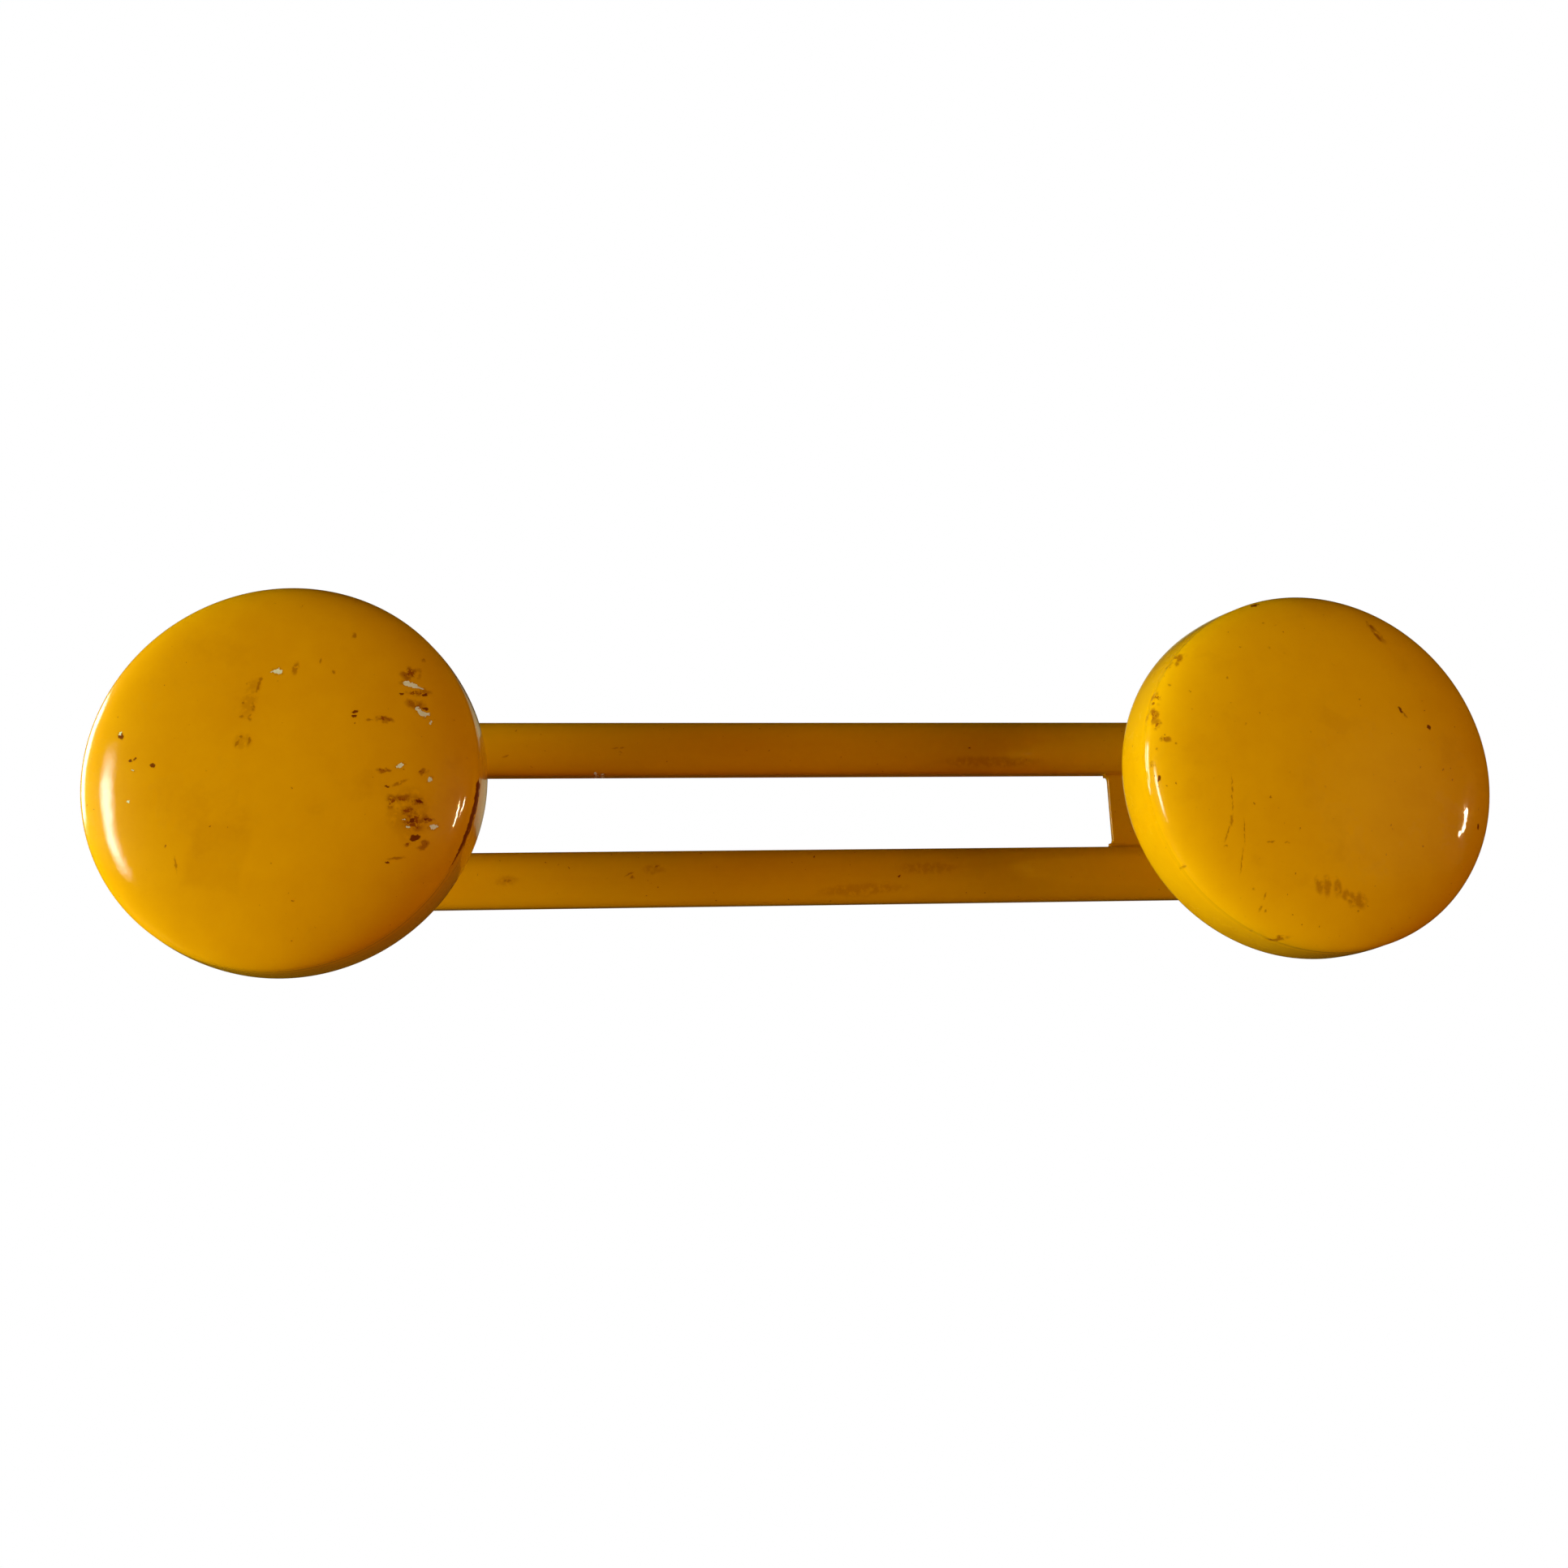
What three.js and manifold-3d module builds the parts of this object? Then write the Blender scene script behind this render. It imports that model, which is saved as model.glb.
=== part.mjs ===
// Two-peg wall coat rack: two lens-shaped round knobs on a flat frame of two parallel rails.
// Millimetres, +X along the rack, +Y into the wall, +Z up. The wall is the plane y = 0 and the knobs face -Y.
import * as THREE from "three";
import { mergeVertices } from "three/addons/utils/BufferGeometryUtils.js";
import Module from "manifold-3d";

const wasm = await Module();
wasm.setup();

// Knobs
const KNOB_SPACING = 220; // between the two knob axes
const KNOB_RADIUS = 40; // at the widest plane of the rear shell
const SEAM_RADIUS = 39.2; // where the front and rear shells meet
const SEAM_Y = -64;
const SEAM_GAP = 0.3;
const DOME_HEIGHT = 9; // front shell, seam to apex
const WIDEST_Y = -53;
const SEAT_Y = -43; // outer face of the flat seat round the stem
const SEAT_RADIUS = 12.5;
const SHELL_THICKNESS = 1.2;
const SHOULDER_POWER = 1 / 1.2; // below 1 makes the dome flatter and its shoulder rounder

// Frame
const FRAME_HALF_LENGTH = 140;
const FRAME_HALF_HEIGHT = 22.6;
const FRAME_CORNER_RADIUS = 10;
const RAIL_WIDTH = 13.3;
const RAIL_DEPTH = 9.5;
const RAIL_SIDE_START = 2; // depth where the back corner ends and the straight side starts
const RAIL_SIDE_END = 5.6; // depth where the straight side ends and the crown starts
const RAIL_BACK_HALF = 5; // half-width of the flat back
const CROWN_POWER = 0.88;
const WEB_BACK_Y = -4;
const WEB_THICKNESS = 1.4;
const SLOT_HALF_LENGTH = 83.2;
const SLOT_CORNER_RADIUS = 2;
const CONTACT_GAP = 0.3;

// Stem and fixings
const TUBE_RADIUS = 9;
const TUBE_WALL = 1.5;
const SEAT_WASHER_RADIUS = 12;
const SEAT_WASHER_THICKNESS = 1.2;
const SCREW_RADIUS = 3;
const SCREW_HOLE_RADIUS = 3.4;
const SCREW_TIP_Y = -51.5;
const SCREW_TIP_CHAMFER = 0.8;
const HEAD_RADIUS = 5.5;
const HEAD_HEIGHT = 2;
const HEAD_EDGE = 0.5;
const HEAD_SLOT_WIDTH = 1.5;
const HEAD_SLOT_DEPTH = 1;
const HEAD_SLOT_TURN = 0.6; // radians
const LOCK_WASHER_RADIUS = 5.6;
const LOCK_WASHER_THICKNESS = 0.8;
const LOCK_WASHER_SPLIT = 1;
const LOCK_WASHER_SLANT = 0.5; // radians
const NUT_FLATS = 10;
const NUT_HEIGHT = 5;
const NUT_BORE_RADIUS = 3.35;
const NUT_CHAMFER = 0.5;

// Keyholes for the wall screws
const KEYHOLE_X = 129; // distance of both keyholes from the middle of the rack
const KEYHOLE_ENTRY_RADIUS = 4.5;
const KEYHOLE_ENTRY_Z = -2.5;
const KEYHOLE_SLOT_HALF = 2.3;
const KEYHOLE_SLOT_TOP = 6;

// Fineness of the faceted curves
const ROUND_SEGMENTS = 64;
const SMALL_SEGMENTS = 40;
const OUTER_DOME_STEPS = 12;
const INNER_DOME_STEPS = 8;
const OUTER_BACK_STEPS = 8;
const INNER_BACK_STEPS = 6;
const SIDE_BAND_STEPS = 5;
const CROWN_STEPS = 12;
const BACK_CORNER_STEPS = 5;
const OUTLINE_STEPS = 16; // along each curve of a flat outline

const CUT_MARGIN = 1; // how far a cutting solid reaches past what it cuts
const MERGE_DISTANCE = 1e-4; // vertices closer than this become one

const lacquer = { color: 0xd79a0a, roughness: 0.28, metalness: 0 };
const zinc = { color: 0x9a9c98, roughness: 0.45, metalness: 1 };

const group = new THREE.Group();
group.name = "coat_rack";

// A three.js geometry as a manifold solid, with its seam vertices merged.
function toSolid(geometry) {
  const plain = geometry.clone();
  plain.deleteAttribute("normal");
  plain.deleteAttribute("uv");
  const merged = mergeVertices(plain, MERGE_DISTANCE);
  return new wasm.Manifold(
    new wasm.Mesh({
      numProp: 3,
      vertProperties: new Float32Array(merged.attributes.position.array),
      triVerts: new Uint32Array(merged.index.array),
    }),
  );
}

function addMesh(name, solid, look) {
  const mesh = solid.getMesh();
  const geometry = new THREE.BufferGeometry();
  geometry.setAttribute("position", new THREE.BufferAttribute(new Float32Array(mesh.vertProperties), 3));
  geometry.setIndex(new THREE.BufferAttribute(new Uint32Array(mesh.triVerts), 1));
  geometry.computeVertexNormals();
  const node = new THREE.Mesh(geometry, new THREE.MeshStandardMaterial(look));
  node.name = name;
  group.add(node);
}

// Turns a closed profile of [radius, y] pairs round the Y axis, then moves it to x.
// The profile runs towards +Y on its outer side.
function turned(profile, segments, x) {
  const points = profile.map(([radius, y]) => new THREE.Vector2(radius, y));
  const geometry = new THREE.LatheGeometry(points, segments);
  geometry.translate(x, 0, 0);
  return toSolid(geometry);
}

// Extrudes a shape drawn in X and Z towards -Y, from y to y - depth.
function platedFrom(shape, y, depth) {
  const geometry = new THREE.ExtrudeGeometry(shape, { depth, bevelEnabled: false, curveSegments: OUTLINE_STEPS });
  geometry.rotateX(Math.PI / 2);
  geometry.translate(0, y, 0);
  return toSolid(geometry);
}

function circlePath(x, z, radius) {
  const path = new THREE.Path();
  path.absarc(x, z, radius, 0, 2 * Math.PI, true);
  return path;
}

// Points of a quarter superellipse, from [wide, start] to [narrow, start + height].
function quarterCurve(wide, narrow, start, height, steps, power) {
  const points = [];
  for (let step = 0; step <= steps; step++) {
    const angle = (step / steps) * (Math.PI / 2);
    const across = narrow + (wide - narrow) * Math.cos(angle) ** power;
    points.push([across, start + height * Math.sin(angle)]);
  }
  return points;
}

// Front shell: a dome with its rim at the seam.
function knobFront(x) {
  const rimY = SEAM_Y - SEAM_GAP / 2;
  const outer = quarterCurve(SEAM_RADIUS, 0, rimY, -DOME_HEIGHT, OUTER_DOME_STEPS, SHOULDER_POWER).reverse();
  const innerRadius = SEAM_RADIUS - SHELL_THICKNESS;
  const innerHeight = SHELL_THICKNESS - DOME_HEIGHT;
  const inner = quarterCurve(innerRadius, 0, rimY, innerHeight, INNER_DOME_STEPS, SHOULDER_POWER);
  outer[0][0] = 0;
  inner[inner.length - 1][0] = 0;
  return turned([...outer, ...inner], ROUND_SEGMENTS, x);
}

// Rear shell: a slightly bulged side band, a rounded back and a flat seat with the screw hole.
function knobBack(x) {
  const rimY = SEAM_Y + SEAM_GAP / 2;
  const band = [];
  for (let step = 0; step < SIDE_BAND_STEPS; step++) {
    const along = step / SIDE_BAND_STEPS;
    const radius = KNOB_RADIUS - (KNOB_RADIUS - SEAM_RADIUS) * (1 - along) ** 2;
    band.push([radius, rimY + (WIDEST_Y - rimY) * along]);
  }
  const height = SEAT_Y - WIDEST_Y;
  const outerBack = quarterCurve(KNOB_RADIUS, SEAT_RADIUS, WIDEST_Y, height, OUTER_BACK_STEPS, SHOULDER_POWER);
  const innerWide = KNOB_RADIUS - SHELL_THICKNESS;
  const innerBack = quarterCurve(
    innerWide,
    SEAT_RADIUS,
    WIDEST_Y,
    height - SHELL_THICKNESS,
    INNER_BACK_STEPS,
    SHOULDER_POWER,
  );
  const profile = [
    ...band,
    ...outerBack,
    [SCREW_HOLE_RADIUS, SEAT_Y],
    [SCREW_HOLE_RADIUS, SEAT_Y - SHELL_THICKNESS],
    ...innerBack.reverse(),
    [SEAM_RADIUS - SHELL_THICKNESS, rimY],
    band[0],
  ];
  return turned(profile, ROUND_SEGMENTS, x);
}

// A flat ring between two radii, from y to y + thickness.
function ring(inner, outer, y, thickness, segments, x) {
  const profile = [
    [inner, y],
    [outer, y],
    [outer, y + thickness],
    [inner, y + thickness],
    [inner, y],
  ];
  return turned(profile, segments, x);
}

// Cheese-head screw with a straight slot. Its head is behind the end plate.
function stemScrew(x, headFrontY) {
  const headBackY = headFrontY + HEAD_HEIGHT;
  const profile = [
    [0, SCREW_TIP_Y],
    [SCREW_RADIUS - SCREW_TIP_CHAMFER, SCREW_TIP_Y],
    [SCREW_RADIUS, SCREW_TIP_Y + SCREW_TIP_CHAMFER],
    [SCREW_RADIUS, headFrontY],
    [HEAD_RADIUS, headFrontY],
    [HEAD_RADIUS, headBackY - HEAD_EDGE],
    [HEAD_RADIUS - HEAD_EDGE, headBackY],
    [0, headBackY],
  ];
  const slotLength = 2 * (HEAD_RADIUS + CUT_MARGIN);
  const slot = new THREE.BoxGeometry(slotLength, 2 * HEAD_SLOT_DEPTH, HEAD_SLOT_WIDTH);
  slot.rotateY(HEAD_SLOT_TURN);
  slot.translate(x, headBackY, 0);
  return turned(profile, SMALL_SEGMENTS, x).subtract(toSolid(slot));
}

// Split washer: a ring with a slanted cut.
function lockWasher(x, y) {
  const depth = LOCK_WASHER_THICKNESS + 2 * CUT_MARGIN;
  const split = new THREE.BoxGeometry(LOCK_WASHER_SPLIT, depth, LOCK_WASHER_RADIUS);
  split.rotateZ(LOCK_WASHER_SLANT);
  split.translate(x, y + LOCK_WASHER_THICKNESS / 2, LOCK_WASHER_RADIUS / 2 + CUT_MARGIN);
  const whole = ring(SCREW_HOLE_RADIUS, LOCK_WASHER_RADIUS, y, LOCK_WASHER_THICKNESS, SMALL_SEGMENTS, x);
  return whole.subtract(toSolid(split));
}

// Hexagon nut with turned corners.
function knobNut(x, backY) {
  const cornerRadius = NUT_FLATS / 2 / Math.cos(Math.PI / 6);
  const middleY = backY - NUT_HEIGHT / 2;
  const hexagon = new THREE.CylinderGeometry(cornerRadius, cornerRadius, NUT_HEIGHT, 6);
  hexagon.translate(x, middleY, 0);
  const frontY = backY - NUT_HEIGHT;
  const wide = cornerRadius + CUT_MARGIN;
  const narrow = cornerRadius - NUT_CHAMFER;
  const slope = NUT_CHAMFER + CUT_MARGIN;
  const rounding = turned(
    [
      [0, frontY],
      [narrow, frontY],
      [wide, frontY + slope],
      [wide, backY - slope],
      [narrow, backY],
      [0, backY],
    ],
    SMALL_SEGMENTS,
    x,
  );
  const bore = new THREE.CylinderGeometry(NUT_BORE_RADIUS, NUT_BORE_RADIUS, 2 * NUT_HEIGHT, SMALL_SEGMENTS);
  bore.translate(x, middleY, 0);
  return toSolid(hexagon).intersect(rounding).subtract(toSolid(bore));
}

// Outline of the whole frame seen from the front: a long rectangle with rounded corners.
function frameOutline() {
  const x = FRAME_HALF_LENGTH;
  const z = FRAME_HALF_HEIGHT;
  const r = FRAME_CORNER_RADIUS;
  const shape = new THREE.Shape();
  shape.moveTo(-x + r, -z);
  shape.lineTo(x - r, -z);
  shape.absarc(x - r, -z + r, r, -Math.PI / 2, 0, false);
  shape.lineTo(x, z - r);
  shape.absarc(x - r, z - r, r, 0, Math.PI / 2, false);
  shape.lineTo(-x + r, z);
  shape.absarc(-x + r, z - r, r, Math.PI / 2, Math.PI, false);
  shape.lineTo(-x, -z + r);
  shape.absarc(-x + r, -z + r, r, Math.PI, 1.5 * Math.PI, false);
  return shape;
}

// Half of a rail's section, from the flat back round one side to the middle of the crown: [z, depth].
function railHalfSection() {
  const half = RAIL_WIDTH / 2;
  const points = [];
  for (let step = 0; step <= BACK_CORNER_STEPS; step++) {
    const angle = (step / BACK_CORNER_STEPS) * (Math.PI / 2);
    const z = RAIL_BACK_HALF + (half - RAIL_BACK_HALF) * Math.sin(angle);
    points.push([z, RAIL_SIDE_START * (1 - Math.cos(angle))]);
  }
  const crownHeight = RAIL_DEPTH - RAIL_SIDE_END;
  return [...points, ...quarterCurve(half, 0, RAIL_SIDE_END, crownHeight, CROWN_STEPS, CROWN_POWER)];
}

// One straight rail, cut to the rounded outline of the frame.
function rail(z, outline) {
  const right = railHalfSection();
  right[right.length - 1][0] = 0;
  const left = right.slice(0, -1).reverse();
  const corners = [
    ...right.map(([across, depth]) => new THREE.Vector2(across, depth)),
    ...left.map(([across, depth]) => new THREE.Vector2(-across, depth)),
  ];
  const bar = new THREE.ExtrudeGeometry(new THREE.Shape(corners), {
    depth: 2 * FRAME_HALF_LENGTH,
    bevelEnabled: false,
  });
  const turn = new THREE.Matrix4().makeBasis(
    new THREE.Vector3(0, 0, 1),
    new THREE.Vector3(0, -1, 0),
    new THREE.Vector3(1, 0, 0),
  );
  bar.applyMatrix4(turn);
  bar.translate(-FRAME_HALF_LENGTH, 0, z);
  return toSolid(bar).intersect(outline);
}

// Flat web between the rails at one end. side is -1 for the left end and +1 for the right end.
function endPlate(side) {
  const half = FRAME_HALF_HEIGHT - RAIL_WIDTH - CONTACT_GAP;
  const r = SLOT_CORNER_RADIUS;
  const inner = SLOT_HALF_LENGTH;
  const outline = new THREE.Shape();
  outline.moveTo(inner - r, -half);
  outline.lineTo(FRAME_HALF_LENGTH, -half);
  outline.lineTo(FRAME_HALF_LENGTH, half);
  outline.lineTo(inner - r, half);
  outline.absarc(inner - r, half - r, r, Math.PI / 2, 0, true);
  outline.lineTo(inner, -half + r);
  outline.absarc(inner - r, -half + r, r, 0, -Math.PI / 2, true);
  outline.holes.push(circlePath(KNOB_SPACING / 2, 0, SCREW_HOLE_RADIUS));
  outline.holes.push(keyholePath(KEYHOLE_X));
  const plate = platedFrom(outline, WEB_BACK_Y, WEB_THICKNESS);
  return side > 0 ? plate : plate.mirror([1, 0, 0]);
}

// A round entry with a narrower slot above it.
function keyholePath(x) {
  const meet = Math.asin(KEYHOLE_SLOT_HALF / KEYHOLE_ENTRY_RADIUS);
  const slotEndZ = KEYHOLE_SLOT_TOP - KEYHOLE_SLOT_HALF;
  const path = new THREE.Path();
  path.absarc(x, KEYHOLE_ENTRY_Z, KEYHOLE_ENTRY_RADIUS, Math.PI / 2 - meet, Math.PI / 2 + meet - 2 * Math.PI, true);
  path.absarc(x, slotEndZ, KEYHOLE_SLOT_HALF, Math.PI, 0, true);
  path.closePath();
  return path;
}

const outlineSolid = platedFrom(frameOutline(), CUT_MARGIN, RAIL_DEPTH + 2 * CUT_MARGIN);
const railZ = FRAME_HALF_HEIGHT - RAIL_WIDTH / 2;
addMesh("upper_rail", rail(railZ, outlineSolid), lacquer);
addMesh("lower_rail", rail(-railZ, outlineSolid), lacquer);

const webFrontY = WEB_BACK_Y - WEB_THICKNESS;
const seatWasherY = SEAT_Y + CONTACT_GAP;
const tubeFrontY = seatWasherY + SEAT_WASHER_THICKNESS + CONTACT_GAP;
const tubeBackY = webFrontY - CONTACT_GAP;
const lockWasherY = WEB_BACK_Y + CONTACT_GAP;
const headFrontY = lockWasherY + LOCK_WASHER_THICKNESS + CONTACT_GAP;
const nutBackY = SEAT_Y - SHELL_THICKNESS - CONTACT_GAP;

for (const [side, sign] of [["left", -1], ["right", 1]]) {
  const x = (sign * KNOB_SPACING) / 2;
  const tube = ring(TUBE_RADIUS - TUBE_WALL, TUBE_RADIUS, tubeFrontY, tubeBackY - tubeFrontY, SMALL_SEGMENTS, x);
  const seatWasher = ring(
    SCREW_HOLE_RADIUS,
    SEAT_WASHER_RADIUS,
    seatWasherY,
    SEAT_WASHER_THICKNESS,
    SMALL_SEGMENTS,
    x,
  );
  addMesh(`${side}_end_plate`, endPlate(sign), lacquer);
  addMesh(`${side}_stem_tube`, tube, lacquer);
  addMesh(`${side}_seat_washer`, seatWasher, zinc);
  addMesh(`${side}_lock_washer`, lockWasher(x, lockWasherY), zinc);
  addMesh(`${side}_stem_screw`, stemScrew(x, headFrontY), zinc);
  addMesh(`${side}_knob_nut`, knobNut(x, nutBackY), zinc);
  addMesh(`${side}_knob_back`, knobBack(x), lacquer);
  addMesh(`${side}_knob_front`, knobFront(x), lacquer);
}

export default group;
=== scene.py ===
"""Looks of the two-knob wall coat rack: glossy yellow lacquer on steel, chipped, scuffed and dirty."""

import math

import bmesh
import bpy
from mathutils import Matrix, Vector, noise


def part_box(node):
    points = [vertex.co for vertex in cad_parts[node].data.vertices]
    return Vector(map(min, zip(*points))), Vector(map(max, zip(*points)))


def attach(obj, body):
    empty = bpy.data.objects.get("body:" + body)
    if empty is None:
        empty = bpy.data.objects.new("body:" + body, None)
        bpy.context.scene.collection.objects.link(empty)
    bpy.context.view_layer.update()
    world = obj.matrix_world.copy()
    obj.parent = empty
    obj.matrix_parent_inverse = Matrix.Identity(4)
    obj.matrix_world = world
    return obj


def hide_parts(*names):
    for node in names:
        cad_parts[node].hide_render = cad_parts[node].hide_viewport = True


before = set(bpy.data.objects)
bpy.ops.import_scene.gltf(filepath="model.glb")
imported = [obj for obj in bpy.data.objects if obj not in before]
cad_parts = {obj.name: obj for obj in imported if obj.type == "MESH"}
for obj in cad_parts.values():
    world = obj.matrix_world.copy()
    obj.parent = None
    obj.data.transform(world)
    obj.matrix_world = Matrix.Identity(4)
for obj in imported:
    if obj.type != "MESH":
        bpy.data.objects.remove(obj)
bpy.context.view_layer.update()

MM = 0.001
QUARTER = math.pi / 2

# Finish colours, linear light
LACQUER_BRIGHT = (0.86, 0.455, 0.0006)
LACQUER_DEEP = (0.78, 0.385, 0.0005)
# The dirt colour, also used to paint shade
GRIME_AND_SHADE = (0.22, 0.018, 0.0006)
BURNT = (0.13, 0.006, 0.0006)
RUST = (0.085, 0.026, 0.006)
PRIMER = (0.88, 0.98, 0.84)
PRIMER_DULL = (0.78, 0.86, 0.68)
STEEL = (0.56, 0.56, 0.55)
ZINC = (0.62, 0.63, 0.62)

# Distance in metres below which two points are one
SAME_POINT = 1e-7

# Fineness of the meshes
KNOB_SEGMENTS = 224
SMALL_SEGMENTS = 72
DOME_STEPS = 44
BACK_STEPS = 22
BAND_STEPS = 14
INNER_STEPS = 12
CORNER_STEPS = 14
BEAD_STEPS = 6
STRAIGHT_STEPS = 60
RAIL_BACK_STEPS = 6
RAIL_CROWN_STEPS = 20
EDGE_STEPS = 5
FLARE_STEPS = 8
FILLET_STEPS = 8
FILLET_LENGTHS = 12
KEYHOLE_STEPS = 40
BACKDROP_STEPS = 32
BACKDROP_SEGMENTS = 64

# Sizes that the CAD boxes don't give
SHELL_THICKNESS = 1.2 * MM
SHOULDER_POWER = 1 / 1.2  # below 1 makes the dome flatter and its shoulder rounder
WIDEST_Y = -53 * MM
SEAT_RADIUS = 12.5 * MM
SCREW_HOLE_RADIUS = 3.4 * MM
RIM_ROUNDING = 0.5 * MM
BEAD_HALF_WIDTH = 0.75 * MM
BEAD_FOOT = 0.1 * MM
CRACK_DEPTH = 0.05 * MM
FRAME_CORNER_RADIUS = 10 * MM
RAIL_SIDE_START = 2 * MM
RAIL_SIDE_END = 5.6 * MM
RAIL_BACK_INSET = 1.65 * MM
CROWN_POWER = 0.88
RAIL_CREST_HALF = 0.05 * MM
SLOT_CORNER_RADIUS = 2 * MM
PLATE_EDGE_ROUNDING = 0.3 * MM
PLATE_END_INSET = 0.3 * MM
PLATE_RAIL_OVERLAP = 0.5 * MM
FILLET = 0.9 * MM
FILLET_BURIED = 0.4 * MM
FILLET_START = 0.6  # of the slot's corner radius
TUBE_WALL = 1.5 * MM
TUBE_FOOT = 1.6 * MM
TUBE_INNER_EDGE = 0.3 * MM
TUBE_OUTER_EDGE = 0.4 * MM
WASHER_EDGE = 0.3 * MM
KEYHOLE_X = 129 * MM
KEYHOLE_ENTRY_RADIUS = 4.5 * MM
KEYHOLE_ENTRY_Z = -2.5 * MM
KEYHOLE_SLOT_HALF = 2.3 * MM
KEYHOLE_SLOT_TOP = 6 * MM


# ---------------------------------------------------------------- material nodes


class Graph:
    """A Principled material and short ways to add nodes to it. A value is a number, a tuple or
    another node's output."""

    def __init__(self, name):
        self.material = bpy.data.materials.new(name)
        self.material.use_nodes = True
        self.tree = self.material.node_tree
        self.shader = self.tree.nodes["Principled BSDF"]

    def feed(self, socket, value):
        if isinstance(value, bpy.types.NodeSocket):
            self.tree.links.new(value, socket)
        else:
            socket.default_value = value

    def add(self, kind, inputs, **settings):
        node = self.tree.nodes.new(kind)
        for key, value in settings.items():
            setattr(node, key, value)
        for key, value in inputs.items():
            self.feed(node.inputs[key], value)
        return node

    def set(self, name, value):
        self.feed(self.shader.inputs[name], value)

    def math(self, operation, first, second=0.0):
        return self.add("ShaderNodeMath", {0: first, 1: second}, operation=operation).outputs[0]

    def place(self):
        """Position on the part in millimetres, in the part's own frame."""
        position = self.add("ShaderNodeTexCoord", {}).outputs["Object"]
        node = self.add("ShaderNodeVectorMath", {0: position}, operation="SCALE")
        node.inputs["Scale"].default_value = 1 / MM
        return node.outputs[0]

    def noise(self, vector, scale, detail=2.0, roughness=0.5):
        node = self.add("ShaderNodeTexNoise", {"Vector": vector, "Scale": scale, "Detail": detail})
        node.inputs["Roughness"].default_value = roughness
        return node.outputs["Fac"]

    def push(self, vector, scale):
        """A push of up to half a unit each way, different from place to place."""
        texture = self.add("ShaderNodeTexNoise", {"Vector": vector, "Scale": scale, "Detail": 3.0})
        inputs = {0: texture.outputs["Color"], 1: (0.5, 0.5, 0.5)}
        return self.add("ShaderNodeVectorMath", inputs, operation="SUBTRACT").outputs[0]

    def warped(self, vector, push, amount):
        """The position pushed about, so that whatever is drawn there has ragged edges."""
        inputs = {0: push, 1: (amount, amount, amount), 2: vector}
        return self.add("ShaderNodeVectorMath", inputs, operation="MULTIPLY_ADD").outputs[0]

    def step(self, value, low, high):
        """0 at low, 1 at high, smooth between them. low may be above high."""
        inputs = {"Value": value, "From Min": low, "From Max": high}
        return self.add("ShaderNodeMapRange", inputs, interpolation_type="SMOOTHSTEP").outputs[0]

    def mix(self, share, first, second):
        node = self.tree.nodes.new("ShaderNodeMix")
        node.data_type = "RGBA"
        self.feed(node.inputs[0], share)
        self.feed(node.inputs[6], colour(first))
        self.feed(node.inputs[7], colour(second))
        return node.outputs[2]

    def spots(self, vector, marks, square=False):
        """Distance to the nearest of the marks, 1 at a mark's edge. A mark is
        (x, z, half length, half height, turn in degrees)."""
        flat = self.add("ShaderNodeVectorMath", {0: vector, 1: (1, 0, 1)}, operation="MULTIPLY").outputs[0]
        nearest = None
        for x, z, half_x, half_z, turn in marks:
            if half_x == half_z and not square:
                apart = self.add("ShaderNodeVectorMath", {0: flat, 1: (x, 0, z)}, operation="DISTANCE")
                distance = self.math("DIVIDE", apart.outputs["Value"], half_x)
            else:
                inputs = {
                    "Vector": flat,
                    "Location": (x, 0, z),
                    "Rotation": (0, math.radians(-turn), 0),
                    "Scale": (half_x, 1, half_z),
                }
                local = self.add("ShaderNodeMapping", inputs, vector_type="TEXTURE").outputs[0]
                distance = self.square_reach(local) if square else self.reach(local)
            nearest = distance if nearest is None else self.math("MINIMUM", nearest, distance)
        return nearest

    def reach(self, vector):
        return self.add("ShaderNodeVectorMath", {0: vector}, operation="LENGTH").outputs["Value"]

    def square_reach(self, vector):
        away = self.add("ShaderNodeVectorMath", {0: vector}, operation="ABSOLUTE").outputs[0]
        parts = self.add("ShaderNodeSeparateXYZ", {0: away}).outputs
        return self.math("MAXIMUM", parts["X"], parts["Z"])

    def bump(self, height, strength, distance, normal=None):
        inputs = {"Height": height, "Strength": strength, "Distance": distance}
        if normal is not None:
            inputs["Normal"] = normal
        return self.add("ShaderNodeBump", inputs).outputs[0]

    def edges(self, radius):
        """1 along the piece's outer and inner edges, 0 on its flat and gently curved faces."""
        rounded = self.add("ShaderNodeBevel", {"Radius": radius}, samples=6).outputs[0]
        plain = self.add("ShaderNodeNewGeometry", {}).outputs["Normal"]
        match = self.add("ShaderNodeVectorMath", {0: rounded, 1: plain}, operation="DOT_PRODUCT")
        return self.step(match.outputs["Value"], 0.985, 0.86)


def colour(value):
    return (*value, 1.0) if isinstance(value, tuple) and len(value) == 3 else value


def moved(marks, x):
    return [(x + mark[0], *mark[1:]) for mark in marks]


class Marks:
    """Places of one painted part's wear, in the form that Graph.spots takes, from the part's middle.
    crack is (radius, half width, low z, high z)."""

    def __init__(
        self,
        chips=(),
        stains=(),
        scratches=(),
        scuffs=(),
        smudges=(),
        smudge_strength=0.22,
        patches=(),
        patch_strength=0.0,
        crack=None,
    ):
        self.chips = chips
        self.stains = stains
        self.scratches = scratches
        self.scuffs = scuffs
        self.smudges = smudges
        self.smudge_strength = smudge_strength
        self.patches = patches
        self.patch_strength = patch_strength
        self.crack = crack


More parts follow.
